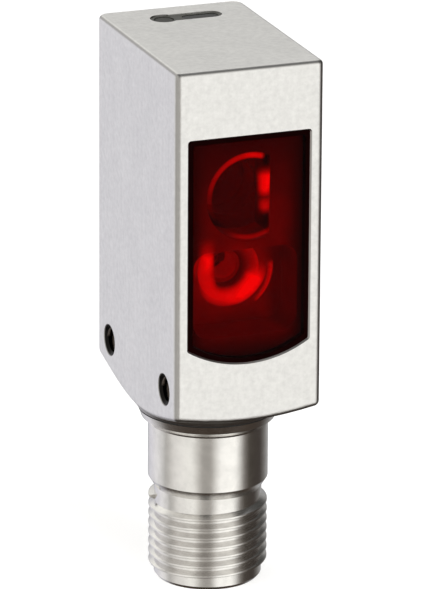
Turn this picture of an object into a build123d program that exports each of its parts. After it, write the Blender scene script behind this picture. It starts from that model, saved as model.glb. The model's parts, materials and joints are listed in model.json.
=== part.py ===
from build123d import *
import os
from math import radians, tan

# Miniature photoelectric sensor in a stainless steel housing with an M12 plug connector.
# Millimetres. Origin: centre of the connector's end face. +Z runs up the connector axis
# into the housing, the optical front faces -Y and the width runs along X.

# ---------------------------------------------------------------- driving dimensions
WIDTH = 15.25
DEPTH = 23.0
FRONT_REACH = 11.1           # from the connector axis to the optical front
HEIGHT = 55.8
FRONT_EDGE_R = 0.6           # rounding of the upright edges
BACK_EDGE_R = 1.2
TOP_RIM_R = 0.43
BOTTOM_RIM_R = 0.6

UNDERSIDE_SLOPE_DEG = 19.0   # the underside is a shallow cone around the connector axis
CORNER_Z = 20.6              # height of the cone at the front corners
CORNER_R = 13.46             # distance of the front corners from the connector axis
NECK_R = 7.4
NECK_END_R = 7.05
NECK_END_Z = 17.95

SIDE_WALL = 1.375
FRONT_WALL = 1.5
BACK_WALL = 1.4
TOP_WALL = 1.5
FLOOR_Z = 25.6

OPENING_TOP_Z = 48.9         # optical opening in the front
OPENING_CORNER_Z = 27.7
OPENING_LOW_Z = 25.87
OPENING_CORNER_R = 0.2
OPENING_CHAMFER = 0.15
SEAL_WIDTH = 0.45
WINDOW_THICKNESS = 0.9
WINDOW_CORNER_R = 0.2
WINDOW_CHAMFER = 0.06

MOUNT_SPACING = 15.8         # two tapped M3 holes through the width
MOUNT_Z = 22.9
M3_TAP_R = 1.25
M3_SINK_R = 1.65
M3_SINK_DEPTH = 0.35

SHANK_R = 6.0                # connector, M12 x 1
SHANK_LOW_Z = 10.58
SHANK_TOP_Z = 16.45
SHANK_CHAMFER = 0.12
GROOVE_R = 5.6               # undercut between the shank and the flange ring
FLANGE_R = 7.0
FLANGE_LOW_R = 6.7
FLANGE_LOW_Z = 17.0
SEAL_HEIGHT = 0.15
RELIEF_TOP_Z = 9.62
THREAD_TOP_Z = 8.45
THREAD_LOW_Z = 1.48
THREAD_R = 5.95
THREAD_CORE_R = 5.39
THREAD_PITCH = 1.0
MOUTH_R = 5.1
MOUTH_CHAMFER_Z = 0.35
SPIGOT_R = 5.2
SPIGOT_TOP_Z = 24.0
PLUG_BORE_R = 4.4
WIRE_BORE_R = 4.0
CARRIER_Z = 8.8              # mouth side of the contact carrier
CARRIER_TOP_Z = 15.0
CONTACT_CIRCLE_R = 2.5
CONTACT_R = 0.5
CONTACT_TIP_Z = 2.3
CONTACT_SHOULDER_Z = 15.4
CONTACT_TAIL_R = 0.35
CONTACT_END_Z = 17.6
POTTING_TOP_Z = 20.0
KEY_WIDTH = 1.3
KEY_HEIGHT = 0.8
KEY_LOW_Z = 0.9
WIRE_R = 0.42
FRONT_PAD = (2.3, 31.2)      # (x, z) of the solder pads on the rear board, mirrored in x
REAR_PAD = (0.8, 28.9)
FRONT_WIRE_RISE_Z = 20.6     # end of each wire's straight start above its contact
REAR_WIRE_RISE_Z = 22.4

RECEIVER_X = 0.4             # receiver lens axis, in the upper part of the opening
RECEIVER_Z = 42.5
RECEIVER_R = 4.5
RECEIVER_FLAT = 2.05         # the lens and its pocket are cut flat on the +X side
RECEIVER_POCKET_DEPTH = 4.0
RECEIVER_LENS_THICKNESS = 1.9
RECEIVER_CROWN_R = 13.0
DETECTOR_X = -0.5            # the chip sits behind the middle of the cut lens
DETECTOR_HALF = 1.4
APERTURE_R = 2.9
APERTURE_DEPTH = 1.6         # from the aperture plate's back to the optics board
SENDER_X = -0.2              # sender lens axis, in the lower part of the opening
SENDER_Z = 33.8
SENDER_SEAT_DEPTH = 5.2      # from the housing's front to the sender's reflector
REFLECTOR_R = 3.2
REFLECTOR_DEPTH = 1.5
SENDER_LENS_R = 1.7
SENDER_DOME_R = 2.6
LED_BORE_R = 1.35
LED_DOME_R = 0.55
FIT = 0.02                   # clearance of parts that are pressed or glued together

OPTICS_INSET = 0.4           # of the optics module's outline from the opening's
OPTICS_CORNER_R = 0.3
CHAMBER_LOW_Z = 28.4         # recess in front of the sender
CHAMBER_TOP_Z = 37.2
CHAMBER_WIDTH = 10.8
CHAMBER_CORNER_R = 1.6
BOARD_HALF_WIDTH = 5.7
BOARD_THICKNESS = 0.8
BOARD_LOW_Z = 27.4
BOARD_TOP_Z = 50.2
OPTICS_BOARD_Y = -1.0        # front faces of the two upright boards
LOGIC_BOARD_Y = 5.5
SCREW_R = 0.75
SCREW_HEAD_R = 1.4
SCREW_HEAD_HEIGHT = 0.8
SCREW_CLEARANCE = 0.1
SCREW_X = 4.45
SCREW_LOW_Z = 29.0
SCREW_TOP_Z = 46.9
SCREW_END_Y = -3.6
SPACER_R = 1.2

CAN_HALF_WIDTH = 3.4         # sheet cover over the receiver amplifier
CAN_HEIGHT = 1.8
CAN_SHEET = 0.2
CAN_LOW_Z = 38.4
CAN_TOP_Z = 46.4

TOP_BOARD_Z = 50.6           # underside of the small board under the top wall
TOP_BOARD_THICKNESS = 0.6
TOP_BOARD_FRONT_Y = -9.0
TOP_BOARD_BACK_Y = 9.6
POST_Y = -5.0
POST_SCREW_LENGTH = 2.5
PANEL_X = 0.45               # middle of the control panel in the top
PANEL_Y = 7.9
PANEL_LENGTH = 7.4
PANEL_WIDTH = 2.2
PANEL_LOBE_R = 1.4
PANEL_FLANGE = 0.35
BUTTON_X = -1.9
BUTTON_R = 0.95
BUTTON_FLANGE_R = 1.3
BUTTON_TRAVEL = 0.3
BUTTON_CLEARANCE = 0.06
BUTTON_SEAL_R = 1.22
PLUNGER_R = 0.55
SWITCH_HEIGHT = 1.1
SWITCH_FLOOR = 0.25
DISPLAY_X = 1.9
DISPLAY_LENGTH = 3.8
DISPLAY_WIDTH = 1.5
DISPLAY_THICKNESS = 0.7
LED_SPACING = 1.8

FRONT_Y = -FRONT_REACH
BACK_Y = DEPTH - FRONT_REACH
INNER_HALF_WIDTH = WIDTH / 2 - SIDE_WALL
INNER_TOP_Z = HEIGHT - TOP_WALL
WINDOW_BACK_Y = FRONT_Y + WINDOW_THICKNESS
OPTICS_FRONT_Y = WINDOW_BACK_Y + 0.1
SENDER_SEAT_Y = FRONT_Y + SENDER_SEAT_DEPTH
OPTICS_BOARD_BACK_Y = OPTICS_BOARD_Y + BOARD_THICKNESS
LOGIC_BOARD_BACK_Y = LOGIC_BOARD_Y + BOARD_THICKNESS
TOP_BOARD_TOP_Z = TOP_BOARD_Z + TOP_BOARD_THICKNESS
PANEL_FLANGE_Z = INNER_TOP_Z - 0.6
PANEL_TOP_Z = HEIGHT - 0.12
DISPLAY_TOP_Z = PANEL_TOP_Z - 0.05
BUTTON_SEAL_LOW_Z = INNER_TOP_Z + 0.2
BUTTON_SEAL_TOP_Z = INNER_TOP_Z + 0.7
PLUNGER_LOW_Z = TOP_BOARD_TOP_Z + SWITCH_FLOOR + BUTTON_TRAVEL + 0.1
PLUNGER_TOP_Z = TOP_BOARD_TOP_Z + 1.5
FLANGE_TOP_Z = NECK_END_Z - SEAL_HEIGHT


# ---------------------------------------------------------------- shape helpers
def block(x_low, x_high, y_low, y_high, z_low, z_high):
    """An upright box between two corners."""
    size = (x_high - x_low, y_high - y_low, z_high - z_low)
    return Pos(x_low, y_low, z_low) * Box(*size, align=Align.MIN)


def upright(radius, z_low, z_high, x=0.0, y=0.0):
    """A cylinder along Z."""
    rod = Cylinder(radius, z_high - z_low, align=(Align.CENTER, Align.CENTER, Align.MIN))
    return Pos(x, y, z_low) * rod


def lying(radius, y_low, y_high, x, z):
    """A cylinder along Y."""
    rod = Cylinder(radius, y_high - y_low)
    return Pos(x, (y_low + y_high) / 2, z) * Rot(90, 0, 0) * rod


def turned(points):
    """A solid turned around the Z axis from an outline of (radius, z) points."""
    outline = make_face(Polyline(*[(r, 0, z) for r, z in points], close=True))
    return revolve(outline, Axis.Z)


def front_plate(face, y_low, y_high):
    """A face drawn in (x, z), extruded from y_low to y_high."""
    plane = Plane(origin=(0, y_low, 0), x_dir=(1, 0, 0), z_dir=(0, -1, 0))
    return extrude(plane * face, -(y_high - y_low))


def opening_outline(inset=0.0, corner_r=OPENING_CORNER_R):
    """The optical opening in (x, z): three straight sides and a sagging lower edge."""
    half = INNER_HALF_WIDTH - inset
    corner = (half, OPENING_CORNER_Z + inset)
    top = OPENING_TOP_Z - inset
    edges = [
        ThreePointArc((-half, corner[1]), (0, OPENING_LOW_Z + inset), corner),
        Line(corner, (half, top)),
        Line((half, top), (-half, top)),
        Line((-half, top), (-half, corner[1])),
    ]
    face = make_face(edges)
    return fillet(face.vertices(), corner_r)


def receiver_outline(radius, flat):
    """A circle around the receiver axis, cut flat on its +X side, in (x, z)."""
    disc = Circle(radius) - Pos(flat + radius, 0) * Rectangle(2 * radius, 4 * radius)
    return Pos(RECEIVER_X, RECEIVER_Z) * disc


def panel_outline(grow=0.0):
    """The control panel in the top: a slot with a wider round lobe around the button."""
    slot = Pos(PANEL_X, PANEL_Y) * SlotOverall(PANEL_LENGTH + 2 * grow, PANEL_WIDTH + 2 * grow)
    button_lobe = Pos(BUTTON_X, PANEL_Y) * Circle(PANEL_LOBE_R + grow)
    return slot + button_lobe


def screw_places():
    """The four (x, z) places of the screws that clamp the boards to the optics."""
    return [(x, z) for x in (-SCREW_X, SCREW_X) for z in (SCREW_LOW_Z, SCREW_TOP_Z)]


def post_places():
    """The two x places of the posts that carry the top board."""
    return (-SCREW_X, SCREW_X)


def contact_places():
    """The four (x, y) places of the contacts, on one circle."""
    reach = CONTACT_CIRCLE_R / 2 ** 0.5
    return [(-reach, -reach), (reach, -reach), (reach, reach), (-reach, reach)]


# ---------------------------------------------------------------- housing and front
def underside_z(radius):
    return CORNER_Z - (CORNER_R - radius) * tan(radians(UNDERSIDE_SLOPE_DEG))


def underside():
    """Everything above the conical underside and inside the neck."""
    reach = CORNER_R + 2
    return Rot(0, 0, 45) * turned([
        (0, NECK_END_Z),
        (NECK_END_R, NECK_END_Z),
        (NECK_R, underside_z(NECK_R)),
        (reach, underside_z(reach)),
        (reach, HEIGHT + 1),
        (0, HEIGHT + 1),
    ])


def underside_rim(body):
    """The edges where the four sides meet the conical underside."""
    return [
        edge for edge in body.edges()
        if underside_z(WIDTH / 2) < edge.center().Z < underside_z(CORNER_R + 1)
        and edge.geom_type != GeomType.LINE
    ]


def opening_rim(body):
    """The edges of the optical opening on the front face."""
    return [
        edge for edge in body.edges().filter_by_position(Axis.Y, FRONT_Y - 0.01, FRONT_Y + 0.01)
        if abs(edge.center().X) <= INNER_HALF_WIDTH + 0.01
        and OPENING_LOW_Z - 0.1 < edge.center().Z < OPENING_TOP_Z + 0.1
    ]


def housing():
    body = block(-WIDTH / 2, WIDTH / 2, FRONT_Y, BACK_Y, NECK_END_Z, HEIGHT)
    uprights = body.edges().filter_by(Axis.Z).sort_by(Axis.Y)
    body = fillet(uprights[:2], FRONT_EDGE_R)
    uprights = body.edges().filter_by(Axis.Z).sort_by(Axis.Y)
    body = fillet(uprights[-2:], BACK_EDGE_R)
    body = fillet(body.faces().sort_by(Axis.Z)[-1].edges(), TOP_RIM_R)
    body = fillet(underside_rim(body & underside()), BOTTOM_RIM_R)
    cavity = block(
        -INNER_HALF_WIDTH, INNER_HALF_WIDTH,
        FRONT_Y + FRONT_WALL, BACK_Y - BACK_WALL,
        FLOOR_Z, INNER_TOP_Z,
    )
    body -= cavity
    body -= front_plate(opening_outline(), FRONT_Y - 1, FRONT_Y + FRONT_WALL)
    body = chamfer(opening_rim(body), OPENING_CHAMFER)
    body -= upright(SPIGOT_R, NECK_END_Z - 1, FLOOR_Z + 0.1)
    for y in (-MOUNT_SPACING / 2, MOUNT_SPACING / 2):
        body -= mounting_hole(y)
    panel_hole = Pos(0, 0, INNER_TOP_Z - 0.5) * extrude(panel_outline(), TOP_WALL + 1)
    return body - panel_hole


def mounting_hole(y):
    """One tapped hole through the width, countersunk at both ends."""
    half = WIDTH / 2
    tool = turned([
        (0, -half - 0.01),
        (M3_SINK_R, -half - 0.01),
        (M3_TAP_R, -half + M3_SINK_DEPTH),
        (M3_TAP_R, half - M3_SINK_DEPTH),
        (M3_SINK_R, half + 0.01),
        (0, half + 0.01),
    ])
    return Pos(0, y, MOUNT_Z) * Rot(0, 90, 0) * tool


def window_seal():
    ring = opening_outline() - opening_outline(SEAL_WIDTH, WINDOW_CORNER_R)
    return front_plate(ring, FRONT_Y + OPENING_CHAMFER, WINDOW_BACK_Y)


def front_window():
    plate = front_plate(opening_outline(SEAL_WIDTH, WINDOW_CORNER_R), FRONT_Y, WINDOW_BACK_Y)
    return chamfer(plate.faces().sort_by(Axis.Y)[0].edges(), WINDOW_CHAMFER)


# ---------------------------------------------------------------- optics module
def optics_carrier():
    """The black body that holds both lenses and carries the boards."""
    outline = opening_outline(OPTICS_INSET, OPTICS_CORNER_R)
    body = front_plate(outline, OPTICS_FRONT_Y, OPTICS_BOARD_Y)
    in_front = OPTICS_FRONT_Y - 1
    behind = OPTICS_BOARD_Y + 1
    pocket = receiver_outline(RECEIVER_R, RECEIVER_FLAT)
    body -= front_plate(pocket, in_front, OPTICS_FRONT_Y + RECEIVER_POCKET_DEPTH)
    body -= lying(APERTURE_R, in_front, OPTICS_BOARD_Y - APERTURE_DEPTH, DETECTOR_X, RECEIVER_Z)
    body -= lying(1.5 * DETECTOR_HALF + 0.1, in_front, behind, DETECTOR_X, RECEIVER_Z)
    body -= front_plate(chamber_outline(), in_front, SENDER_SEAT_Y)
    reflector_back = SENDER_SEAT_Y + REFLECTOR_DEPTH
    body -= lying(REFLECTOR_R, in_front, reflector_back, SENDER_X, SENDER_Z)
    body -= lying(LED_BORE_R, in_front, behind, SENDER_X, SENDER_Z)
    for x, z in screw_places():
        body -= lying(SCREW_R + FIT, SCREW_END_Y - 0.1, behind, x, z)
    for x in post_places():
        body += upright(SPACER_R, OPENING_TOP_Z - OPTICS_INSET - 0.3, TOP_BOARD_Z, x, POST_Y)
        bore_low_z = TOP_BOARD_TOP_Z - POST_SCREW_LENGTH - 0.2
        body -= upright(SCREW_R + FIT, bore_low_z, TOP_BOARD_Z + 1, x, POST_Y)
    return body


def chamber_outline():
    """The recess in front of the sender, in (x, z)."""
    height = CHAMBER_TOP_Z - CHAMBER_LOW_Z
    middle_z = CHAMBER_LOW_Z + height / 2
    return Pos(0, middle_z) * RectangleRounded(CHAMBER_WIDTH, height, CHAMBER_CORNER_R)


def receiver_lens():
    """A plano-convex lens with its crown in front, cut flat on the +X side."""
    crown_y = OPTICS_FRONT_Y + 0.15
    outline = receiver_outline(RECEIVER_R - FIT, RECEIVER_FLAT - FIT)
    blank = front_plate(outline, crown_y, crown_y + RECEIVER_LENS_THICKNESS)
    crown = Pos(RECEIVER_X, crown_y + RECEIVER_CROWN_R, RECEIVER_Z) * Sphere(RECEIVER_CROWN_R)
    return blank & crown


def sender_reflector():
    """A dished ring around the sender lens."""
    ring = turned([
        (SENDER_LENS_R + FIT, 0),
        (REFLECTOR_R - FIT, 0),
        (REFLECTOR_R - FIT, REFLECTOR_DEPTH),
        (REFLECTOR_R - 0.3, REFLECTOR_DEPTH),
        (SENDER_LENS_R + FIT, 0.4 * REFLECTOR_DEPTH),
    ])
    return Pos(SENDER_X, SENDER_SEAT_Y + REFLECTOR_DEPTH, SENDER_Z) * Rot(90, 0, 0) * ring


def sender_lens():
    dome_y = SENDER_SEAT_Y + 0.25
    disc = lying(SENDER_LENS_R, dome_y - 0.05, SENDER_SEAT_Y + REFLECTOR_DEPTH, SENDER_X, SENDER_Z)
    dome = Pos(SENDER_X, dome_y + SENDER_DOME_R, SENDER_Z) * Sphere(SENDER_DOME_R)
    return disc & dome


def sender_led():
    """The light source: a flat base on the board with a clear dome."""
    base_front = OPTICS_BOARD_Y - 0.5
    base = block(-1.1, 1.1, base_front, OPTICS_BOARD_Y, SENDER_Z - 0.6, SENDER_Z + 0.6)
    base &= lying(LED_BORE_R - 0.05, base_front, OPTICS_BOARD_Y, SENDER_X, SENDER_Z)
    dome = Pos(SENDER_X, base_front, SENDER_Z) * Sphere(LED_DOME_R)
    cap = dome & lying(LED_DOME_R + 1, base_front - 1, base_front + 0.1, SENDER_X, SENDER_Z)
    return base + cap


def receiver_chip():
    die = block(
        DETECTOR_X - DETECTOR_HALF, DETECTOR_X + DETECTOR_HALF,
        OPTICS_BOARD_Y - 0.9, OPTICS_BOARD_Y,
        RECEIVER_Z - DETECTOR_HALF, RECEIVER_Z + DETECTOR_HALF,
    )
    return fillet(die.faces().sort_by(Axis.Y)[0].edges(), 0.15)


def receiver_aperture():
    """A thin stop in front of the chip, with a slot for the light."""
    back = OPTICS_BOARD_Y - APERTURE_DEPTH
    plate = lying(APERTURE_R - FIT, back - 0.35, back, DETECTOR_X, RECEIVER_Z)
    return plate - block(DETECTOR_X - 1.1, DETECTOR_X + 1.1, back - 1, back + 1,
                         RECEIVER_Z - 0.4, RECEIVER_Z + 0.4)


# ---------------------------------------------------------------- boards inside
def upright_board(y):
    board = block(-BOARD_HALF_WIDTH, BOARD_HALF_WIDTH, y, y + BOARD_THICKNESS,
                  BOARD_LOW_Z, BOARD_TOP_Z)
    for x, z in screw_places():
        board -= lying(SCREW_R + SCREW_CLEARANCE, y - 1, y + 2, x, z)
    return board


def top_board():
    board = block(-BOARD_HALF_WIDTH, BOARD_HALF_WIDTH, TOP_BOARD_FRONT_Y, TOP_BOARD_BACK_Y,
                  TOP_BOARD_Z, TOP_BOARD_TOP_Z)
    hole_r = SCREW_R + SCREW_CLEARANCE
    for x in post_places():
        board -= upright(hole_r, TOP_BOARD_Z - 1, TOP_BOARD_TOP_Z + 1, x, POST_Y)
    return board


def screw(length):
    """One pan-head screw with a cross slot, head up, under-head plane at z = 0."""
    head = upright(SCREW_HEAD_R, 0, SCREW_HEAD_HEIGHT)
    head = fillet(head.edges().sort_by(Axis.Z)[-1], 0.3)
    body = head + upright(SCREW_R, -length, 0.1)
    for size in ((1.6, 0.35), (0.35, 1.6)):
        body -= Pos(0, 0, SCREW_HEAD_HEIGHT) * Box(*size, 0.7)
    return body


def board_screws():
    length = LOGIC_BOARD_BACK_Y - SCREW_END_Y
    screws = [Pos(x, LOGIC_BOARD_BACK_Y, z) * Rot(-90, 0, 0) * screw(length)
              for x, z in screw_places()]
    screws += [Pos(x, POST_Y, TOP_BOARD_TOP_Z) * screw(POST_SCREW_LENGTH) for x in post_places()]
    return screws


def board_spacers():
    sleeves = []
    for x, z in screw_places():
        sleeve = lying(SPACER_R, OPTICS_BOARD_BACK_Y, LOGIC_BOARD_Y, x, z)
        sleeves.append(sleeve - lying(SCREW_R + SCREW_CLEARANCE, -5, 10, x, z))
    return sleeves


def chip(x, z, half_x, half_z, y_low, y_high):
    """A flat moulded package on an upright board."""
    return block(x - half_x, x + half_x, y_low, y_high, z - half_z, z + half_z)


def microcontroller():
    body = chip(0, 40.0, 2.5, 2.5, LOGIC_BOARD_BACK_Y, LOGIC_BOARD_BACK_Y + 0.9)
    return chamfer(body.faces().sort_by(Axis.Y)[-1].edges(), 0.12)


def logic_parts():
    back = LOGIC_BOARD_BACK_Y
    parts = [chip(x, 34.0, 0.4, 0.7, back, back + 0.6) for x in (-3.0, -1.0, 1.0, 3.0)]
    parts += [chip(x, 45.2, 0.5, 0.9, back, back + 0.8) for x in (-2.0, 0.0, 2.0)]
    parts.append(chip(0, 31.0, 1.5, 1.0, back, back + 1.1))
    return parts


def optics_parts():
    back = OPTICS_BOARD_BACK_Y
    parts = [chip(x, 31.5, 0.4, 0.7, back, back + 0.6) for x in (-2.4, -0.8, 0.8, 2.4)]
    parts.append(chip(0, 34.6, 1.6, 1.2, back, back + 1.0))
    return parts


def shield_can():
    """A folded sheet cover over the receiver amplifier, open towards the board."""
    board = OPTICS_BOARD_BACK_Y
    half = CAN_HALF_WIDTH
    shell = block(-half, half, board, board + CAN_HEIGHT, CAN_LOW_Z, CAN_TOP_Z)
    shell = fillet(shell.edges().filter_by(Axis.Y), 0.5)
    inner_half = half - CAN_SHEET
    return shell - block(-inner_half, inner_half, board - 1, board + CAN_HEIGHT - CAN_SHEET,
                         CAN_LOW_Z + CAN_SHEET, CAN_TOP_Z - CAN_SHEET)


def receiver_amplifier():
    middle_z = (CAN_LOW_Z + CAN_TOP_Z) / 2
    return chip(0, middle_z, 2.0, 2.0, OPTICS_BOARD_BACK_Y, OPTICS_BOARD_BACK_Y + 0.9)


def stacking_connector():
    """The block of contacts that joins the two upright boards."""
    body = chip(0, 37.0, 2.6, 0.8, OPTICS_BOARD_BACK_Y, LOGIC_BOARD_Y)
    return chamfer(body.edges().filter_by(Axis.Y), 0.2)


def board_plug():
    """The plug block that joins the rear board to the top board."""
    return block(-3.0, 3.0, LOGIC_BOARD_Y - 1.6, LOGIC_BOARD_Y, TOP_BOARD_Z - 2.2, TOP_BOARD_Z)


# ---------------------------------------------------------------- controls in the top
def control_panel():
    """A plate held from inside by its flange, open for the button and the display."""
    foot = Pos(0, 0, PANEL_FLANGE_Z)
    body = foot * extrude(panel_outline(), PANEL_TOP_Z - PANEL_FLANGE_Z)
    body += foot * extrude(panel_outline(PANEL_FLANGE), INNER_TOP_Z - PANEL_FLANGE_Z)
    below, above = PANEL_FLANGE_Z - 1, HEIGHT + 1
    body -= upright(BUTTON_R + BUTTON_CLEARANCE, below, above, BUTTON_X, PANEL_Y)
    body -= upright(BUTTON_SEAL_R, BUTTON_SEAL_LOW_Z, BUTTON_SEAL_TOP_Z, BUTTON_X, PANEL_Y)
    return body - display_slot(0.0, below, above)


def display_slot(inset, z_low, z_high):
    slot = SlotOverall(DISPLAY_LENGTH - 2 * inset, DISPLAY_WIDTH - 2 * inset)
    return Pos(DISPLAY_X, PANEL_Y, z_low) * extrude(slot, z_high - z_low)


def indicator_window():
    return display_slot(0.0, DISPLAY_TOP_Z - DISPLAY_THICKNESS, DISPLAY_TOP_Z)


def light_guide():
    return display_slot(0.03, TOP_BOARD_TOP_Z + 0.9, DISPLAY_TOP_Z - DISPLAY_THICKNESS)


def status_led(x):
    low = TOP_BOARD_TOP_Z
    base = block(x - 0.5, x + 0.5, PANEL_Y - 0.6, PANEL_Y + 0.6, low, low + 0.3)
    lens = block(x - 0.4, x + 0.4, PANEL_Y - 0.4, PANEL_Y + 0.4, low + 0.3, low + 0.7)
    return base + lens


def button_seal():
    ring = upright(BUTTON_SEAL_R, BUTTON_SEAL_LOW_Z, BUTTON_SEAL_TOP_Z, BUTTON_X, PANEL_Y)
    return ring - upright(BUTTON_R + 0.03, INNER_TOP_Z, HEIGHT, BUTTON_X, PANEL_Y)


def teach_button():
    """A round button, kept in by its flange, with a foot on the switch plunger."""
    flange_top = PANEL_FLANGE_Z - FIT
    stem = upright(BUTTON_R, flange_top - 0.1, PANEL_TOP_Z - 0.06, BUTTON_X, PANEL_Y)
    stem = fillet(stem.edges().sort_by(Axis.Z)[-1], 0.12)
    flange = upright(BUTTON_FLANGE_R, flange_top - 0.5, flange_top, BUTTON_X, PANEL_Y)
    foot = upright(PLUNGER_R, PLUNGER_TOP_Z, flange_top - 0.4, BUTTON_X, PANEL_Y)
    return stem + flange + foot


def switch_body():
    low = TOP_BOARD_TOP_Z
    body = block(BUTTON_X - 1.5, BUTTON_X + 1.5, PANEL_Y - 1.3, PANEL_Y + 1.3,
                 low, low + SWITCH_HEIGHT)
    return body - upright(PLUNGER_R + 0.07, low + SWITCH_FLOOR, low + 2, BUTTON_X, PANEL_Y)


def switch_plunger():
    return upright(PLUNGER_R, PLUNGER_LOW_Z, PLUNGER_TOP_Z, BUTTON_X, PANEL_Y)


# ---------------------------------------------------------------- connector
def connector_shell():
    body = turned([
        (0, 0),
        (MOUTH_R, 0),
        (THREAD_CORE_R, MOUTH_CHAMFER_Z),
        (THREAD_CORE_R, RELIEF_TOP_Z),
        (SHANK_R, SHANK_LOW_Z),
        (SHANK_R, SHANK_TOP_Z - SHANK_CHAMFER),
        (SHANK_R - SHANK_CHAMFER, SHANK_TOP_Z),
        (GROOVE_R, SHANK_TOP_Z),
        (GROOVE_R, FLANGE_LOW_Z),
        (FLANGE_LOW_R, FLANGE_LOW_Z),
        (FLANGE_R, FLANGE_TOP_Z),
        (SPIGOT_R, FLANGE_TOP_Z),
        (SPIGOT_R, SPIGOT_TOP_Z),
        (0, SPIGOT_TOP_Z),
    ])
    body += thread()
    bore = turned([
        (0, -0.1),
        (PLUG_BORE_R + 0.25, -0.1),
        (PLUG_BORE_R, 0.25),
        (PLUG_BORE_R, CARRIER_TOP_Z),
        (WIRE_BORE_R, CARRIER_TOP_Z),
        (WIRE_BORE_R, SPIGOT_TOP_Z + 0.1),
        (0, SPIGOT_TOP_Z + 0.1),
    ])
    return body - bore


def thread():
    """The M12 x 1 ridge, run out by a cone at both ends."""
    turns_low = THREAD_LOW_Z - THREAD_PITCH / 2
    height = THREAD_TOP_Z - turns_low
    root_r = THREAD_CORE_R - 0.06
    path = Helix(THREAD_PITCH, height, root_r, center=(0, 0, turns_low))
    half_root = 0.44 * THREAD_PITCH
    half_crest = 0.08 * THREAD_PITCH
    section = make_face(Polyline(
        (root_r, 0, turns_low - half_root),
        (THREAD_R, 0, turns_low - half_crest),
        (THREAD_R, 0, turns_low + half_crest),
        (root_r, 0, turns_low + half_root),
        close=True,
    ))
    ridge = sweep(section, path=path, is_frenet=True)
    run_out = turned([
        (0, MOUTH_CHAMFER_Z),
        (THREAD_CORE_R, MOUTH_CHAMFER_Z),
        (THREAD_R, THREAD_LOW_Z),
        (THREAD_R + 1, THREAD_LOW_Z + 1),
        (THREAD_R + 1, THREAD_TOP_Z),
        (THREAD_CORE_R, THREAD_TOP_Z + 0.1),
        (0, THREAD_TOP_Z + 0.1),
    ])
    return ridge & run_out


def connector_seal():
    ring = upright(NECK_END_R - 0.1, FLANGE_TOP_Z, NECK_END_Z)
    return ring - upright(SPIGOT_R, 0, HEIGHT)


def contact_carrier():
    body = upright(PLUG_BORE_R, CARRIER_Z, CARRIER_TOP_Z)
    key = block(-KEY_WIDTH / 2, KEY_WIDTH / 2, PLUG_BORE_R - KEY_HEIGHT, PLUG_BORE_R,
                KEY_LOW_Z, CARRIER_Z + 0.5)
    body += key & upright(PLUG_BORE_R, 0, CARRIER_TOP_Z)
    for x, y in contact_places():
        body -= upright(CONTACT_R, 0, CARRIER_TOP_Z + 1, x, y)
    return body


def contact_pin(x, y):
    """A round contact with a tapered, blunt tip and a thinner solder tail."""
    rod = turned([
        (0, CONTACT_TIP_Z),
        (0.55 * CONTACT_R, CONTACT_TIP_Z),
        (0.85 * CONTACT_R, CONTACT_TIP_Z + 0.3 * CONTACT_R),
        (CONTACT_R, CONTACT_TIP_Z + CONTACT_R),
        (CONTACT_R, CONTACT_SHOULDER_Z),
        (CONTACT_TAIL_R, CONTACT_SHOULDER_Z),
        (CONTACT_TAIL_R, CONTACT_END_Z),
        (0, CONTACT_END_Z),
    ])
    return Pos(x, y, 0) * rod


def wire(x, y):
    """One insulated wire from a contact's tail to its pad on the rear board."""
    front = y < 0
    pad_x, pad_z = FRONT_PAD if front else REAR_PAD
    pad_x *= 1 if x > 0 else -1
    rise_z = FRONT_WIRE_RISE_Z if front else REAR_WIRE_RISE_Z
    bend = (0.9 * pad_x, 1.4, 26.0) if front else (1.5 * pad_x, 3.2, 25.9)
    path = Spline(
        [(x, y, rise_z), bend, (pad_x, LOGIC_BOARD_Y - 0.7, pad_z)],
        tangents=[(0, 0, 1), (0, 1, 0.4)],
    )
    tail = Line(path @ 1, (pad_x, LOGIC_BOARD_Y, pad_z + 0.28))
    core = Circle(WIRE_R)
    start = upright(WIRE_R, CONTACT_END_Z, rise_z, x, y)
    run = sweep(Plane(origin=path @ 0, z_dir=(0, 0, 1)) * core, path=path)
    end = sweep(Plane(origin=tail @ 0, z_dir=tail % 0) * core, path=tail)
    whole = start + run + end
    return whole & block(-6, 6, -4, LOGIC_BOARD_Y, CONTACT_END_Z, pad_z + 2)


def potting(wires, pins):
    body = upright(WIRE_BORE_R, CARRIER_TOP_Z, POTTING_TOP_Z)
    for piece in [*wires, *pins]:
        body -= piece
    return body


# ---------------------------------------------------------------- export
def save(name, shape):
    if isinstance(shape, (list, tuple)):
        shape = Compound(children=list(shape))
    shape.label = name
    export_step(shape, f"parts/{name}.step")


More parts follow.
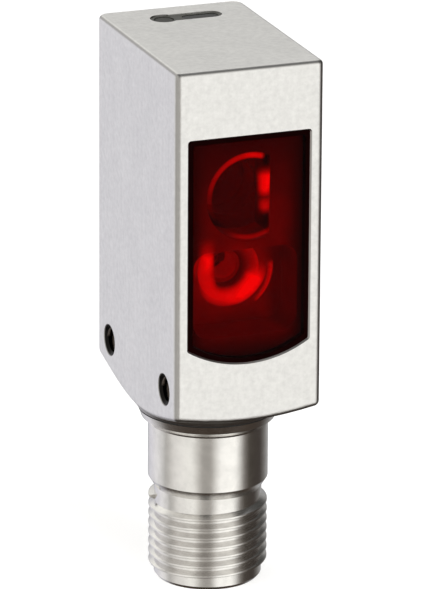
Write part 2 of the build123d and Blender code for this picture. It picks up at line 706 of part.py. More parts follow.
def main():
    os.makedirs("parts", exist_ok=True)
    for name, make in {
        "housing": housing,
        "window_seal": window_seal,
        "front_window": front_window,
        "optics_carrier": optics_carrier,
        "receiver_lens": receiver_lens,
        "receiver_aperture": receiver_aperture,
        "receiver_chip": receiver_chip,
        "sender_lens": sender_lens,
        "sender_reflector": sender_reflector,
        "sender_led": sender_led,
        "top_board": top_board,
        "board_screws": board_screws,
        "board_spacers": board_spacers,
        "microcontroller": microcontroller,
        "logic_parts": logic_parts,
        "optics_parts": optics_parts,
        "shield_can": shield_can,
        "receiver_amplifier": receiver_amplifier,
        "stacking_connector": stacking_connector,
        "board_plug": board_plug,
        "control_panel": control_panel,
        "indicator_window": indicator_window,
        "light_guide": light_guide,
        "button_seal": button_seal,
        "teach_button": teach_button,
        "switch_body": switch_body,
        "switch_plunger": switch_plunger,
        "connector_shell": connector_shell,
        "connector_seal": connector_seal,
        "contact_carrier": contact_carrier,
    }.items():
        save(name, make())
    save("optics_board", upright_board(OPTICS_BOARD_Y))
    save("logic_board", upright_board(LOGIC_BOARD_Y))
    save("status_led_green", status_led(DISPLAY_X - LED_SPACING / 2))
    save("status_led_yellow", status_led(DISPLAY_X + LED_SPACING / 2))
    pins = [contact_pin(x, y) for x, y in contact_places()]
    wires = [wire(x, y) for x, y in contact_places()]
    for number, pin in enumerate(pins, start=1):
        save(f"contact_pin_{number}", pin)
    for colour, lead in zip(("brown", "white", "blue", "black"), wires):
        save(f"wire_{colour}", lead)
    save("connector_potting", potting(wires, pins))


main()
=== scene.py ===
import json
import math

import bmesh
import bpy
from mathutils import Matrix, Vector


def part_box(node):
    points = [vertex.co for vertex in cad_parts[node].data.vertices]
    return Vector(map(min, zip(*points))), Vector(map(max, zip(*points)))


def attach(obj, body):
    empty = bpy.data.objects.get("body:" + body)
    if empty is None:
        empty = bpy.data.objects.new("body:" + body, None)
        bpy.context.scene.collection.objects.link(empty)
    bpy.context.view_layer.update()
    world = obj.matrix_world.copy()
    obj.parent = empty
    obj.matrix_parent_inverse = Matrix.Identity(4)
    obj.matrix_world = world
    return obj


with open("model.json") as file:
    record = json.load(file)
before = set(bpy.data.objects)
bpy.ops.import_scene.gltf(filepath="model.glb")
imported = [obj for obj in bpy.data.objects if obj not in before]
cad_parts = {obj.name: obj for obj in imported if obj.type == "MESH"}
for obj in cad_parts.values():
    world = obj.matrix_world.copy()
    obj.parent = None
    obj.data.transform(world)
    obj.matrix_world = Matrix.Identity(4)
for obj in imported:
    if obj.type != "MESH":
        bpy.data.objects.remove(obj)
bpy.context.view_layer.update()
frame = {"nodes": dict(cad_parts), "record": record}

NODES = frame["nodes"]
MM = 0.001
BODY = "sensor_body"

# The camera stands to the left of the optical front and above it.
VIEW_AZIMUTH = -20.71
VIEW_ELEVATION = 18.54
VIEW_ROLL = -0.33
VIEW_DISTANCE = 582.9 * MM
AIM_HEIGHT = 21.0 * MM
VIEW_SHIFT = (0.22 * MM, 7.91 * MM)     # of the optical axis from the aim point on the Z axis
FOCAL_LENGTH = 358.2
SENSOR_SIZE = 36.0


# ---------------------------------------------------------------- places, from the frame
def centre_of(node):
    low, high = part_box(node)
    return (low + high) / 2


HOUSING_SIDE_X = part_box("housing")[1].x
WINDOW_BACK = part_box("front_window")[1].y
LENS_LOW, LENS_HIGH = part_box("receiver_lens")
SENDER = centre_of("sender_reflector")
SENDER_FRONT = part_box("sender_reflector")[0].y
CARRIER_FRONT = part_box("optics_carrier")[0].y
LENS_R = (LENS_HIGH.z - LENS_LOW.z) / 2
LENS_X = LENS_LOW.x + LENS_R
LENS_Z = (LENS_LOW.z + LENS_HIGH.z) / 2
MOUNT = next(row for row in frame["record"]["mounts"] if row["name"] == "side_threads_left")
MOUNT_Z = MOUNT["pos_m"][2]
MOUNT_Y = MOUNT["dims"]["spacing_x_mm"] / 2 * MM
MOUNT_SINK_R = 1.65 * MM

# ---------------------------------------------------------------- values that several parts share
# the colour of the painted red glow on the optics carrier and the sender's reflector
PAINTED_GLOW_RED = (1.0, 0.03, 0.03, 1)
RIDGE = "ridge"     # the vertex attribute that is 1 along the middle of a lit piece


# ---------------------------------------------------------------- node materials
class Shader:
    """A material under construction, with short calls that add nodes and join them."""

    def __init__(self, name, tree=None):
        self.material = None
        if tree is None:
            self.material = bpy.data.materials.new(name)
            self.material.use_nodes = True
            tree = self.material.node_tree
        self.tree = tree
        self.tree.nodes.clear()

    def node(self, kind, inputs=None, **settings):
        made = self.tree.nodes.new(kind)
        for key, value in settings.items():
            setattr(made, key, value)
        for key, value in (inputs or {}).items():
            self.join(value, made.inputs[key])
        return made

    def join(self, value, socket):
        if isinstance(value, bpy.types.NodeSocket):
            self.tree.links.new(value, socket)
        else:
            socket.default_value = value

    def position(self):
        """The point in the frame, in millimetres, unmoved by poses."""
        coordinates = self.node("ShaderNodeTexCoord").outputs["Object"]
        return self.vector("SCALE", coordinates, 1 / MM)

    def vector(self, operation, first, second=(0, 0, 0)):
        made = self.node("ShaderNodeVectorMath", {0: first}, operation=operation)
        if operation == "SCALE":
            made.inputs["Scale"].default_value = second
        else:
            self.join(second, made.inputs[1])
        return made.outputs["Value" if operation in ("LENGTH", "DOT_PRODUCT") else "Vector"]

    def math(self, operation, first, second=0.0, clamp=False):
        made = self.node("ShaderNodeMath", {0: first, 1: second}, operation=operation)
        made.use_clamp = clamp
        return made.outputs[0]

    def plus(self, first, second):
        return self.math("ADD", first, second)

    def minus(self, first, second):
        return self.math("SUBTRACT", first, second)

    def times(self, first, second):
        return self.math("MULTIPLY", first, second)

    def size_of(self, value):
        """The value without its sign."""
        return self.math("ABSOLUTE", value)

    def larger(self, first, second):
        return self.math("MAXIMUM", first, second)

    def length(self, first, second):
        """The length of the vector that has these two components."""
        return self.math("SQRT", self.plus(self.times(first, first), self.times(second, second)))

    def blended(self, *shares):
        """The sum of the values, each times its own weight."""
        total = None
        for value, weight in shares:
            part = self.times(value, weight)
            total = part if total is None else self.plus(total, part)
        return total

    def axis(self, vector, name):
        return self.node("ShaderNodeSeparateXYZ", {0: vector}).outputs[name]

    def past(self, place, name, origin):
        """How far place is past an origin in metres, along one axis, in millimetres."""
        return self.minus(self.axis(place, name), origin / MM)

    def noise(self, place, scale, detail=3.0, roughness=0.55):
        made = self.node("ShaderNodeTexNoise", {
            "Vector": place, "Scale": scale, "Detail": detail, "Roughness": roughness,
        })
        return made.outputs["Fac"]

    def stretched(self, place, factors):
        return self.vector("MULTIPLY", place, factors)

    def spread(self, value, low, high):
        """Maps 0 to 1 onto low to high."""
        made = self.node("ShaderNodeMapRange", {"Value": value, "To Min": low, "To Max": high})
        return made.outputs[0]

    def fade(self, value, start, end):
        """0 before start, 1 after end, smooth between."""
        made = self.node("ShaderNodeMapRange", {"Value": value, "From Min": start, "From Max": end})
        made.interpolation_type = "SMOOTHSTEP"
        return made.outputs[0]

    def fade_out(self, value, start, end):
        """1 before start, 0 after end, smooth between."""
        return self.minus(1.0, self.fade(value, start, end))

    def ramp(self, value, stops):
        """A colour for the value, smooth between the (position, colour) stops."""
        made = self.node("ShaderNodeValToRGB", {0: value})
        elements = made.color_ramp.elements
        while len(elements) > 1:
            elements.remove(elements[-1])
        elements[0].position, elements[0].color = stops[0][0], (*stops[0][1], 1)
        for place, colour in stops[1:]:
            elements.new(place).color = (*colour, 1)
        return made.outputs["Color"]

    def mix(self, factor, first, second):
        made = self.node("ShaderNodeMix", data_type="RGBA")
        self.join(factor, made.inputs["Factor"])
        self.join(first, made.inputs[6])
        self.join(second, made.inputs[7])
        return made.outputs[2]

    def bump(self, height, distance_mm, strength):
        made = self.node("ShaderNodeBump", {
            "Height": height, "Strength": strength, "Distance": distance_mm * MM,
        })
        return made.outputs[0]

    def principled(self, **inputs):
        """A Principled surface, with its inputs given by their names in small letters."""
        named = {
            key.replace("_", " ").title().replace("Ior", "IOR"): value
            for key, value in inputs.items()
        }
        made = self.node("ShaderNodeBsdfPrincipled", named)
        return made.outputs[0]

    def finish(self, surface):
        self.node("ShaderNodeOutputMaterial", {"Surface": surface})
        return self.material


def grey(level):
    return (level, level, level)


def shade(colour, factor):
    """The colour made darker or lighter by a factor."""
    return tuple(min(1.0, channel * factor) for channel in colour)


def blasted_steel():
    """Stainless steel with a fine blast: mottled grain, faint streaks, and painted shade on the
    rounded edges, on the faces that look down and inside the mounting holes.
    """
    steel = (0.8, 0.795, 0.785)
    edge_and_underside_shade = (0.3, 0.29, 0.28, 1)
    hole_shade = (0.012, 0.011, 0.01, 1)
    s = Shader("blasted_steel")
    place = s.position()
    grain = s.noise(place, scale=9.0, detail=2.0)
    mottle = s.noise(place, scale=1.7, detail=3.0, roughness=0.65)
    cloud = s.noise(place, scale=0.35, detail=4.0)
    streak = s.noise(s.stretched(place, (1.5, 1.5, 0.12)), scale=1.6)
    tone = s.blended((cloud, 0.3), (streak, 0.15), (mottle, 0.55))
    colour = s.ramp(tone, [(0.3, shade(steel, 0.86)), (0.7, shade(steel, 1.1))])
    # painted shade: the rounded edges and the faces that look down are darkened in the colour
    colour = s.mix(shaded_edges_and_underside(s), colour, edge_and_underside_shade)
    # painted shade inside the mounting holes
    colour = s.mix(mount_hole_shade(s, place), colour, hole_shade)
    return s.finish(s.principled(
        base_color=colour, metallic=1.0,
        roughness=s.spread(s.blended((grain, 0.5), (cloud, 0.5)), 0.27, 0.46),
        normal=s.bump(grain, distance_mm=0.012, strength=0.5),
    ))


def shaded_edges_and_underside(s):
    """Where painted shade darkens the steel: 1 on the rounded edges and on the parts that face down,
    0 on the flat faces.
    """
    normal = s.node("ShaderNodeNewGeometry").outputs["True Normal"]
    x, y, z = (s.size_of(s.axis(normal, letter)) for letter in "XYZ")
    squareness = s.larger(s.larger(x, y), z)
    edge = s.times(s.fade_out(squareness, 0.78, 0.99), 0.8)
    # painted shade on the faces that look down, strongest on those towards the front
    down = s.fade(s.times(s.axis(normal, "Z"), -1.0), 0.12, 0.6)
    front = s.fade(s.times(s.axis(normal, "Y"), -1.0), 0.0, 0.5)
    return s.larger(edge, s.times(down, s.spread(front, 0.35, 1.0)))


def mount_hole_shade(s, place):
    """Where painted shade darkens the mounting holes: 1 in their countersinks and bores, 0 on the
    faces around them.
    """
    y = s.minus(s.size_of(s.axis(place, "Y")), MOUNT_Y / MM)
    z = s.past(place, "Z", MOUNT_Z)
    sunk = s.minus(HOUSING_SIDE_X / MM, s.size_of(s.axis(place, "X")))
    within = s.fade_out(s.length(y, z), MOUNT_SINK_R / MM - 0.03, MOUNT_SINK_R / MM + 0.05)
    return s.times(within, s.fade(sunk, 0.02, 0.1))


def turned_steel():
    """Bright turned stainless steel with fine tool marks around the axis."""
    steel = (0.8, 0.785, 0.765)
    s = Shader("turned_steel")
    place = s.position()
    marks = s.noise(s.stretched(place, (0.06, 0.06, 9.0)), scale=2.2, detail=4.0)
    stain = s.noise(place, scale=0.8)
    colour = s.ramp(stain, [(0.35, shade(steel, 0.92)), (0.65, shade(steel, 1.03))])
    return s.finish(s.principled(
        base_color=colour, metallic=1.0, roughness=s.spread(marks, 0.12, 0.26),
        normal=s.bump(marks, distance_mm=0.006, strength=0.5),
    ))


def moulded(name, colour, low=0.4, high=0.6, grain_mm=0.01, scale=6.0, metallic=0.0,
            specular=0.4):
    """A moulded or plated surface, with a fine grain and slow changes of tone.

    Its roughness lies between low and high.
    """
    s = Shader(name)
    place = s.position()
    grain = s.noise(place, scale)
    cloud = s.noise(place, scale=0.5)
    tone = s.ramp(cloud, [(0.3, shade(colour, 0.82)), (0.7, shade(colour, 1.15))])
    return s.finish(s.principled(
        base_color=tone, metallic=metallic, roughness=s.spread(grain, low, high),
        normal=s.bump(grain, grain_mm, strength=0.6), specular_ior_level=specular,
    ))


def metal(name, colour, low=0.2, high=0.35, grain_mm=0.006, scale=8.0):
    """A small plated or machined metal part."""
    return moulded(name, colour, low, high, grain_mm, scale, metallic=1.0)


def circuit_board():
    """Green solder resist with copper tracks showing through as lighter lines."""
    track_green = (0.08, 0.36, 0.14, 1)
    resist_green = (0.02, 0.17, 0.07, 1)
    s = Shader("circuit_board")
    place = s.position()
    cells = s.node("ShaderNodeTexVoronoi", {"Vector": place, "Scale": 0.9},
                   feature="DISTANCE_TO_EDGE", distance="MANHATTAN")
    tracks = s.fade(cells.outputs["Distance"], 0.05, 0.09)
    colour = s.mix(tracks, track_green, resist_green)
    return s.finish(s.principled(
        base_color=colour, roughness=s.spread(s.noise(place, scale=5.0), 0.25, 0.45),
        normal=s.bump(tracks, distance_mm=0.02, strength=0.4),
    ))


def tinted_glass(name, tint, gloss, rough=0.03):
    """A clear or tinted plate: what is behind shows through the tint, with a faint shine."""
    s = Shader(name)
    place = s.position()
    wave = s.noise(place, scale=0.25, detail=2.0)
    through = s.node("ShaderNodeBsdfTransparent", {"Color": (*tint, 1)}).outputs[0]
    shine = s.node("ShaderNodeBsdfGlossy", {
        "Color": (1, 1, 1, 1),
        "Roughness": s.spread(s.noise(place, scale=2.0), rough, rough * 2),
        "Normal": s.bump(wave, distance_mm=0.02, strength=0.2),
    }).outputs[0]
    facing = s.node("ShaderNodeLayerWeight", {"Blend": 0.35}).outputs["Facing"]
    share = s.spread(s.math("POWER", facing, 3.0), gloss, 0.6)
    mixed = s.node("ShaderNodeMixShader", {0: share, 1: through, 2: shine}).outputs[0]
    return s.finish(mixed)


def painted_red_glint(name, strength, mask, softness):
    """A painted red highlight on an optical edge, as a glowing strip: brightest along its middle,
    melting away at its rims.

    The higher the softness, the narrower the bright middle.
    """
    s = Shader(name)
    place = s.position()
    ridge = s.node("ShaderNodeAttribute", attribute_name=RIDGE).outputs["Fac"]
    core = s.math("POWER", ridge, softness)
    mottle = s.spread(s.noise(place, scale=0.9), 0.6, 1.3)
    glow = s.times(s.times(core, mottle), mask(s, place))
    return s.finish(s.principled(
        base_color=(0.2, 0.01, 0.01, 1), roughness=0.4, specular_ior_level=0.1,
        emission_color=(1.0, 0.02, 0.03, 1), emission_strength=strength,
        alpha=s.math("MULTIPLY", glow, 1.0, clamp=True),
    ))


def radius_from(s, place, x, z):
    """The distance from an axis along Y, in millimetres."""
    return s.length(s.past(place, "X", x), s.past(place, "Z", z))


def carrier_plastic():
    """Black moulded plastic with a painted red glow of stray light, which dies off towards its
    borders.

    The painted glow leaves the receiver's pocket dark and is brighter in the sender's chamber around
    the lens.
    """
    side_border = (3.4, 5.7)        # where the light starts to fall off and where it is gone
    top_border = (40.0, 48.6)
    foot_border = (26.4, 30.0)      # where it sets in and where it is full
    pocket_border = (4.3, 4.7)
    s = Shader("carrier_plastic")
    place = s.position()
    grain = s.noise(place, scale=5.0)
    x, y, z = (s.axis(place, letter) for letter in "XYZ")
    deep = s.fade(y, CARRIER_FRONT / MM + 0.05, CARRIER_FRONT / MM + 0.5)
    sides = s.larger(s.fade_out(s.size_of(x), *side_border), s.times(deep, 0.5))
    upper = s.spread(s.fade_out(z, *top_border), 0.1, 1.0)
    inside = s.times(s.times(sides, upper), s.fade(z, *foot_border))
    pocket = s.fade_out(radius_from(s, place, LENS_X, LENS_Z), *pocket_border)
    stray = s.times(inside, s.minus(1.0, s.times(deep, pocket)))
    cloudy = s.times(stray, s.spread(s.noise(place, scale=0.5), 0.03, 0.16))
    halo = s.fade_out(radius_from(s, place, SENDER.x, SENDER.z), 2.0, 5.0)
    # painted glow: the stray red light, a halo round the sender and a patch above it
    glow = s.plus(cloudy, s.blended((halo, 0.12), (above_sender(s, place), 0.45)))
    return s.finish(s.principled(
        base_color=(0.03, 0.015, 0.015, 1), roughness=s.spread(grain, 0.35, 0.55),
        normal=s.bump(grain, distance_mm=0.01, strength=0.5), specular_ior_level=0.1,
        emission_color=PAINTED_GLOW_RED, emission_strength=glow,
    ))


def above_sender(s, place):
    """1 in the soft patch of painted light above the left end of the sender's glowing edge, 0
    elsewhere.
    """
    patch_x = SENDER.x - 3.8 * MM
    rise = s.past(place, "Z", SENDER.z)
    patch = s.times(s.fade_out(rise, 2.8, 5.2), s.fade(rise, -1.0, 2.0))
    return s.times(patch, s.fade_out(s.size_of(s.past(place, "X", patch_x)), 0.0, 1.1))


def reflector_with_painted_glow():
    """The sender's metallised dish: dark by the lens, with a painted red glow towards its rim."""
    s = Shader("reflector")
    place = s.position()
    # where the painted red glow sits: stronger towards the rim of the dish
    rim = s.fade(radius_from(s, place, SENDER.x, SENDER.z), 1.5, 3.4)
    return s.finish(s.principled(
        base_color=(0.16, 0.02, 0.02, 1), metallic=1.0, roughness=0.5,
        emission_color=PAINTED_GLOW_RED,
        emission_strength=s.times(rim, s.spread(s.noise(place, scale=1.2), 0.2, 0.6)),
    ))


# ---------------------------------------------------------------- mesh helpers
def add_object(name, mesh_builder, material):
    """A smooth-shaded object whose mesh is made by mesh_builder."""
    mesh = bpy.data.meshes.new(name)
    builder = bmesh.new()
    mesh_builder(builder)
    bmesh.ops.recalc_face_normals(builder, faces=builder.faces)
    builder.to_mesh(mesh)
    builder.free()
    for face in mesh.polygons:
        face.use_smooth = True
    made = bpy.data.objects.new(name, mesh)
    bpy.context.scene.collection.objects.link(made)
    mesh.materials.append(material)
    return made


def swept_tube(builder, path, radii, flatten, sides):
    """A round-ended tube along a path in the frame's XZ plane.

    Its radius grows from the first to the second of radii; flatten scales its depth along Y.
    The attribute RIDGE is 1 along the middle of its front side and 0 at its rims and ends.
    """
    end_size = 0.02         # the square of the share of the radius that is left at an end
    ridge_growth = 0.7      # of the ridge along one radius of the path, from an end inwards
    last = len(path) - 1
    ridge = builder.verts.layers.float.new(RIDGE)
    rings = []
    for index, point in enumerate(path):
        along = (path[min(index + 1, last)] - path[max(index - 1, 0)]).normalized()
        across = Vector((along.z, 0, -along.x))
        radius = radii[0] + (radii[1] - radii[0]) * index / last
        reach = min((point - path[0]).length, (point - path[-1]).length)
        taper = radius * math.sqrt(max(end_size, 1 - max(0.0, 1 - reach / radius) ** 2))
        ring = []
        for side in range(sides):
            turn = 2 * math.pi * side / sides
            offset = across * (taper * math.cos(turn))
            offset.y += taper * flatten * math.sin(turn)
            vertex = builder.verts.new(point + offset)
            vertex[ridge] = max(0.0, -math.sin(turn)) * min(1.0, ridge_growth * reach / radius)
            ring.append(vertex)
        rings.append(ring)
    for first, second in zip(rings, rings[1:]):
        for side in range(sides):
            following = (side + 1) % sides
            builder.faces.new((first[side], first[following], second[following], second[side]))
    builder.faces.new(rings[0])
    builder.faces.new(rings[-1])


def arc(centre, radius, start_deg, end_deg, steps):
    """Points of an arc in the XZ plane; 0 degrees is +X and 90 degrees is +Z."""
    points = []
    for step in range(steps + 1):
        angle = math.radians(start_deg + (end_deg - start_deg) * step / steps)
        points.append(centre + Vector((radius * math.cos(angle), 0, radius * math.sin(angle))))
    return points


def straight(start, end, steps):
    """Points evenly spread from start to end."""
    return [start.lerp(end, step / steps) for step in range(steps + 1)]


def smooth_curve(points, steps):
    """A smooth line through the points, with the given number of steps between each two."""
    line = []
    for index in range(len(points) - 1):
        a, b = points[max(index - 1, 0)], points[index]
        c, d = points[index + 1], points[min(index + 2, len(points) - 1)]
        for step in range(steps):
            t = step / steps
            line.append(0.5 * (
                2 * b + (c - a) * t + (2 * a - 5 * b + 4 * c - d) * t ** 2
                + (3 * b - a - 3 * c + d) * t ** 3
            ))
    return line + [points[-1]]


def keep(piece):
    """The piece rides on the sensor."""
    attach(piece, BODY)


def add_painted_glint(name, path, radii, flatten, sides, material):
    """A glowing strip of painted red highlight along a path, kept with the sensor."""
    piece = add_object(name, lambda b: swept_tube(b, path, radii, flatten, sides), material)
    keep(piece)


# ---------------------------------------------------------------- optics seen in the window: painted red highlights
def receiver_rim():
    """A painted red highlight along the rim of the receiver lens, as a thin glowing strip, open
    along the lens's flat side.
    """
    rim_r = LENS_R - 0.32 * MM
    centre = Vector((LENS_X, WINDOW_BACK + 0.42 * MM, LENS_Z))

    def brightness(s, place):
        """The painted highlight is bright over the top, fading down the left side, with a faint arc
        at the bottom.
        """
        x = s.past(place, "X", centre.x)
        z = s.past(place, "Z", centre.z)
        top = s.times(s.fade(z, -2.6, 3.6), s.spread(s.fade(x, -4.0, 1.2), 0.55, 1.1))
        foot = s.times(s.fade_out(z, -3.9, -2.6), s.spread(s.fade(x, -2.8, -0.6), 0.08, 0.4))
        return s.larger(top, foot)

    add_painted_glint(
        "receiver_rim_glint",
        path=arc(centre, rim_r, start_deg=316, end_deg=66, steps=84),
        radii=(0.3 * MM, 0.4 * MM), flatten=0.7, sides=18,
        material=painted_red_glint("receiver_rim_painted_light", 0.7, brightness, softness=2.0),
    )


def receiver_flat():
    """A painted red highlight on the flat flank of the receiver lens, as a glowing strip."""
    x = LENS_HIGH.x - 0.37 * MM
    y = WINDOW_BACK + 0.62 * MM
    low = Vector((x, y, LENS_Z - 2.45 * MM))
    high = Vector((x, y, LENS_Z + 3.3 * MM))

    def brightness(s, place):
        """The painted highlight is bright on the upper part; the lower part has a second, weaker
        spot.
        """
        z = s.past(place, "Z", LENS_Z)
        upper = s.fade(z, -0.5, 0.8)
        spot = s.fade_out(s.size_of(s.plus(z, 1.3)), 0.2, 1.4)
        return s.larger(upper, s.times(spot, 0.5))

    add_painted_glint(
        "receiver_flank_glint",
        path=straight(low, high, steps=40),
        radii=(0.75 * MM, 1.0 * MM), flatten=0.6, sides=28,
        material=painted_red_glint("receiver_flank_painted_light", 1.25, brightness, softness=2.5),
    )


def sender_ring_glow():
    """A painted red glow along the edge of the sender's seat, as a glowing strip: a left leg, a
    tight turn and a thick right arm.
    """
    y = SENDER_FRONT - 0.45 * MM
    bends = [       # to the right of the sender's axis and above it, in millimetres
        (-2.5, 3.0), (-2.5, 1.4), (-2.5, -0.4), (-2.05, -1.9), (-0.9, -2.5),
        (0.8, -2.35), (2.05, -1.4), (2.6, -0.2), (2.45, 0.95),
    ]
    points = [Vector((SENDER.x + x * MM, y, SENDER.z + z * MM)) for x, z in bends]

    def brightness(s, place):
        """The painted glow is brightest on the right arm; the leg fades out towards its upper end.
        """
        x = s.past(place, "X", SENDER.x)
        z = s.past(place, "Z", SENDER.z)
        right = s.spread(s.fade(x, -1.2, 2.0), 0.6, 1.3)
        leg = s.times(s.fade(z, -0.4, 1.2), s.spread(s.fade(x, -2.0, -1.0), 0.35, 0.0))
        return s.times(s.plus(right, leg), s.fade_out(z, 1.8, 3.6))

    add_painted_glint(
        "sender_ring_glow",
        path=smooth_curve(points, steps=10),
        radii=(0.8 * MM, 1.3 * MM), flatten=0.45, sides=32,
        material=painted_red_glint("sender_ring_painted_light", 1.2, brightness, softness=2.2),
    )


def sender_seat_glint():
    """A faint painted red highlight on the outer edge of the sender lens seat, at the lower right.
    """
    centre = Vector((SENDER.x, SENDER_FRONT - 0.16 * MM, SENDER.z))
    ring_r = 4.25 * MM

    def brightness(s, place):
        """The painted highlight is gone towards the bottom of the arc."""
        return s.fade(s.past(place, "X", SENDER.x), 1.8, 3.4)

    add_painted_glint(
        "sender_seat_glint",
        path=arc(centre, ring_r, start_deg=-55, end_deg=12, steps=30),
        radii=(0.25 * MM, 0.4 * MM), flatten=1.0, sides=14,
        material=painted_red_glint("sender_seat_painted_light", 0.5, brightness, softness=2.0),
    )


# ---------------------------------------------------------------- threads in the mounting holes
def mount_thread(name, y):
    """The M3 thread inside one mounting hole, as a helical ridge along the width."""
    pitch = 0.5 * MM
    foot_r = 1.24 * MM
    crest_r = 1.08 * MM
    foot_half = 0.45 * pitch
    crest_half = 0.1 * pitch
    profile = (
        (foot_r, -foot_half), (crest_r, -crest_half), (crest_r, crest_half), (foot_r, foot_half),
    )
    reach = HOUSING_SIDE_X - 0.45 * MM
    steps_per_turn = 28
    steps = int(2 * reach / pitch * steps_per_turn)

    def build(builder):
        rows = []
        for step in range(steps + 1):
            angle = 2 * math.pi * step / steps_per_turn
            out = Vector((0, math.cos(angle), math.sin(angle)))
            centre = Vector((-reach + pitch * step / steps_per_turn, y, MOUNT_Z))
            rows.append([
                builder.verts.new(centre + out * radius + Vector((shift, 0, 0)))
                for radius, shift in profile
            ])
        corners = len(profile)
        for first, second in zip(rows, rows[1:]):
            for a in range(corners):
                b = (a + 1) % corners
                builder.faces.new((first[a], first[b], second[b], second[a]))
        builder.faces.new(rows[0])
        builder.faces.new(rows[-1])

    keep(add_object(name, build, MATERIALS["bore_steel"]))


# ---------------------------------------------------------------- materials on the CAD parts
MATERIALS = {
    "blasted_steel": blasted_steel(),
    "turned_steel": turned_steel(),
    "red_window": tinted_glass("red_window", (0.8, 0.01, 0.012), gloss=0.002),
    "smoked_window": tinted_glass("smoked_window", (0.12, 0.12, 0.11), gloss=0.03),
    "clear_lens": tinted_glass("clear_lens", (0.93, 0.93, 0.93), gloss=0.03),
    "bore_steel": metal("bore_steel", (0.12, 0.1, 0.085), 0.4, 0.6),
    "carrier_plastic": carrier_plastic(),
    "black_rubber": moulded("black_rubber", (0.018, 0.018, 0.018), 0.6, 0.8, grain_mm=0.015),
    "window_seal": moulded("window_seal", (0.006, 0.001, 0.001), 0.5, 0.7, specular=0.0),
    "black_plastic": moulded("black_plastic", (0.03, 0.03, 0.028), 0.35, 0.55),
    "panel_plastic": moulded("panel_plastic", (0.07, 0.07, 0.062), grain_mm=0.02),
    "aperture_black": moulded("aperture_black", (0.012, 0.012, 0.012), 0.7, 0.9),
    "reflector": reflector_with_painted_glow(),
    "led_red": moulded("led_red", (0.1, 0.008, 0.008), 0.3, 0.4),
    "led_green": moulded("led_green", (0.1, 0.55, 0.2), 0.1, 0.25),
    "led_yellow": moulded("led_yellow", (0.85, 0.6, 0.1), 0.1, 0.25),
    "circuit_board": circuit_board(),
    "chip_black": moulded("chip_black", (0.04, 0.04, 0.045), 0.45, 0.7, grain_mm=0.02, scale=10.0),
    "shield_tin": metal("shield_tin", (0.7, 0.69, 0.66), 0.25, 0.4, scale=4.0),
    "screw_steel": metal("screw_steel", (0.62, 0.62, 0.63)),
    "spacer_brass": metal("spacer_brass", (0.72, 0.5, 0.2)),
    "button_grey": moulded("button_grey", (0.055, 0.055, 0.05), 0.5, 0.7, grain_mm=0.02),
    "plunger_white": moulded("plunger_white", (0.75, 0.75, 0.72), 0.4, 0.55),
    "gold_contact": metal("gold_contact", (0.88, 0.62, 0.24), 0.12, 0.24, grain_mm=0.004, scale=7.0),
    "wire_brown": moulded("wire_brown", (0.17, 0.07, 0.03), 0.3, 0.45),
    "wire_white": moulded("wire_white", (0.82, 0.82, 0.8), 0.3, 0.45),
    "wire_blue": moulded("wire_blue", (0.03, 0.1, 0.45), 0.3, 0.45),
    "wire_black": moulded("wire_black", (0.02, 0.02, 0.02), 0.3, 0.45),
    "potting": moulded("potting", (0.06, 0.055, 0.05), 0.3, 0.5),
}

LOOK_OF_SLOT = {"housing_steel": "blasted_steel", "connector_steel": "turned_steel"}
LOOK_OF_NODE = {
    "optics_carrier": "carrier_plastic",
    "control_panel": "panel_plastic",
    "window_seal": "window_seal",
}


def dress_nodes():
    """Every CAD node gets the material of its slot in the record, or one of its own."""
    for row in frame["record"]["subparts"]:
        node, slot = row["node"], row["material_slot"]
        look = LOOK_OF_NODE.get(node, LOOK_OF_SLOT.get(slot, slot))
        mesh = NODES[node].data
        mesh.materials.clear()
        mesh.materials.append(MATERIALS[look])


# ---------------------------------------------------------------- studio
def view_axes():
    """The camera's right, up and back directions in the frame."""
    azimuth = math.radians(VIEW_AZIMUTH)
    elevation = math.radians(VIEW_ELEVATION)
    level = math.cos(elevation)
    back = Vector((math.sin(azimuth) * level, -math.cos(azimuth) * level, math.sin(elevation)))
    right = Vector((math.cos(azimuth), math.sin(azimuth), 0))
    up = back.cross(right)
    roll = math.radians(VIEW_ROLL)
    turned_right = right * math.cos(roll) - up * math.sin(roll)
    turned_up = right * math.sin(roll) + up * math.cos(roll)
    return turned_right, turned_up, back


def level_axes():
    """The level directions towards the camera and to its right."""
    right, _, back = view_axes()
    return Vector((back.x, back.y, 0)).normalized(), Vector((right.x, right.y, 0)).normalized()


def add_camera():
    """The camera at the viewing angle given at the top."""
    right, up, back = view_axes()
    data = bpy.data.cameras.new("camera")
    data.lens = FOCAL_LENGTH
    data.sensor_width = SENSOR_SIZE
    data.clip_start = 0.01
    data.clip_end = 20.0
    camera = bpy.data.objects.new("camera", data)
    bpy.context.scene.collection.objects.link(camera)
    place = Vector((0, 0, AIM_HEIGHT)) + right * VIEW_SHIFT[0] + up * VIEW_SHIFT[1]
    place += back * VIEW_DISTANCE
    turn = Matrix((right, up, back)).transposed().to_4x4()
    camera.matrix_world = Matrix.Translation(place) @ turn
    bpy.context.scene.camera = camera


def by_bearing(s, turn, stops):
    """A colour that changes with the bearing, from (degrees, colour) stops."""
    return s.ramp(turn, [(degrees / 360 + 0.5, colour) for degrees, colour in stops])


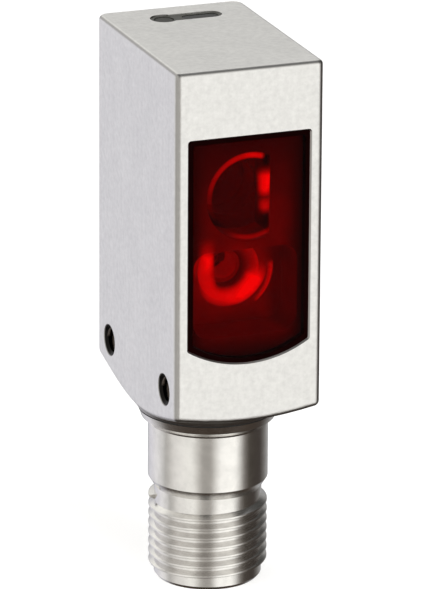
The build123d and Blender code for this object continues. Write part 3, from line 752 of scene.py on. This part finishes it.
def add_studio_world():
    """A round studio of white and grey screens, given by the bearing from the camera.

    Bearing 0 is behind the camera, positive bearings are to its right. The light comes from
    a ring of screens, from panels higher up, from a patched ceiling and from a dark pit below.
    """
    world = bpy.data.worlds.new("studio")
    bpy.context.scene.world = world
    world.use_nodes = True
    s = Shader("studio", world.node_tree)
    direction = s.node("ShaderNodeTexCoord").outputs["Generated"]
    level_back, level_right = level_axes()
    side = s.vector("DOT_PRODUCT", direction, level_right)
    front = s.vector("DOT_PRODUCT", direction, level_back)
    turn = s.plus(s.times(s.math("ARCTAN2", side, front), 1 / (2 * math.pi)), 0.5)
    height = s.axis(direction, "Z")

    screens = [
        (-180, (0.30, 0.30, 0.32)), (-160, (0.62, 0.62, 0.66)), (-140, (0.80, 0.79, 0.85)),
        (-112, (0.92, 0.91, 0.92)), (-96, (0.74, 0.73, 0.72)), (-89, (0.50, 0.49, 0.47)),
        (-80, (0.66, 0.64, 0.61)), (-68, (0.88, 0.86, 0.83)), (-30, (1.06, 1.05, 1.0)),
        (-19, (0.72, 0.70, 0.66)), (-10, (0.44, 0.42, 0.39)), (6, (0.42, 0.40, 0.37)),
        (14, (0.78, 0.76, 0.72)), (24, (1.2, 1.19, 1.15)), (54, (1.28, 1.27, 1.22)),
        (64, (0.80, 0.79, 0.76)), (74, (0.24, 0.22, 0.20)), (86, (0.07, 0.06, 0.05)),
        (120, (0.06, 0.05, 0.045)), (138, (0.20, 0.19, 0.18)), (158, (0.42, 0.42, 0.42)),
        (180, (0.30, 0.30, 0.32)),
    ]
    panel_white = (1.02, 1.01, 0.96)
    panels = [      # bearing and brightness
        (-180, 1.12), (-150, 1.05), (-30, 1.0), (-17, 0.2), (0, 0.16), (10, 0.8),
        (52, 1.0), (66, 0.12), (154, 0.06), (170, 1.05), (180, 1.12),
    ]
    ceiling = [     # place across the view, from -1 to 1, and brightness
        (-1.0, 0.26), (-0.32, 0.42), (-0.2, 0.07), (0.0, 0.07), (0.12, 0.5),
        (0.36, 0.5), (0.5, 0.1), (1.0, 0.1),
    ]
    pit = (0.06, 0.045, 0.035, 1)

    colour = s.mix(
        s.fade(height, 0.12, 0.5),
        by_bearing(s, turn, screens),
        by_bearing(s, turn, [
            (degrees, tuple(level * channel for channel in panel_white))
            for degrees, level in panels
        ]),
    )
    across = s.plus(s.times(side, 0.5), 0.5)
    patches = s.ramp(across, [(place / 2 + 0.5, grey(level)) for place, level in ceiling])
    colour = s.mix(s.fade(height, 0.62, 0.9), colour, patches)
    colour = s.mix(s.fade_out(height, -0.8, -0.55), colour, pit)
    background = s.node("ShaderNodeBackground", {"Color": colour, "Strength": 1.0}).outputs[0]
    s.node("ShaderNodeOutputWorld", {"Surface": background})


def add_floor():
    """A plain pale floor under the connector; metal reflects the studio in its place."""
    half_width = 6.0
    gap = 0.02 * MM
    s = Shader("floor")
    place = s.position()
    tone = s.ramp(s.noise(place, scale=0.002, detail=2.0), [(0.3, grey(0.88)), (0.7, grey(0.9))])
    material = s.finish(s.principled(
        base_color=tone, roughness=0.9, specular_ior_level=0.0,
        emission_color=(1, 1, 1, 1), emission_strength=0.55,
    ))

    def build(builder):
        bmesh.ops.create_grid(builder, x_segments=8, y_segments=8, size=half_width)

    floor = add_object("floor", build, material)
    floor.location = (0, 0, -gap)
    floor.visible_glossy = False


def add_softbox(name, bearing, elevation, distance, side, power):
    """A square lamp that points at the middle of the sensor and isn't seen in its metal."""
    aim = Vector((0, 0, 30 * MM))
    level_back, level_right = level_axes()
    bearing = math.radians(bearing)
    elevation = math.radians(elevation)
    direction = level_back * math.cos(bearing) + level_right * math.sin(bearing)
    direction *= math.cos(elevation)
    direction.z = math.sin(elevation)
    data = bpy.data.lights.new(name, "AREA")
    data.shape = "SQUARE"
    data.size = side
    data.energy = power
    light = bpy.data.objects.new(name, data)
    bpy.context.scene.collection.objects.link(light)
    light.location = aim + direction * distance
    light.rotation_mode = "QUATERNION"
    light.rotation_quaternion = direction.to_track_quat("Z", "Y")
    light.visible_glossy = False


def set_up_studio():
    """Camera, surroundings, floor and lamps."""
    add_camera()
    add_studio_world()
    add_floor()
    add_softbox("key", bearing=35, elevation=35, distance=0.7, side=0.35, power=1.6)
    add_softbox("fill", bearing=-60, elevation=25, distance=0.8, side=0.4, power=0.8)
    bpy.context.scene.view_settings.view_transform = "Standard"


# ---------------------------------------------------------------- the scene
dress_nodes()
receiver_rim()
receiver_flat()
sender_ring_glow()
sender_seat_glint()
for number, side in enumerate((-1, 1), start=1):
    mount_thread(f"mount_thread_{number}", side * MOUNT_Y)
set_up_studio()
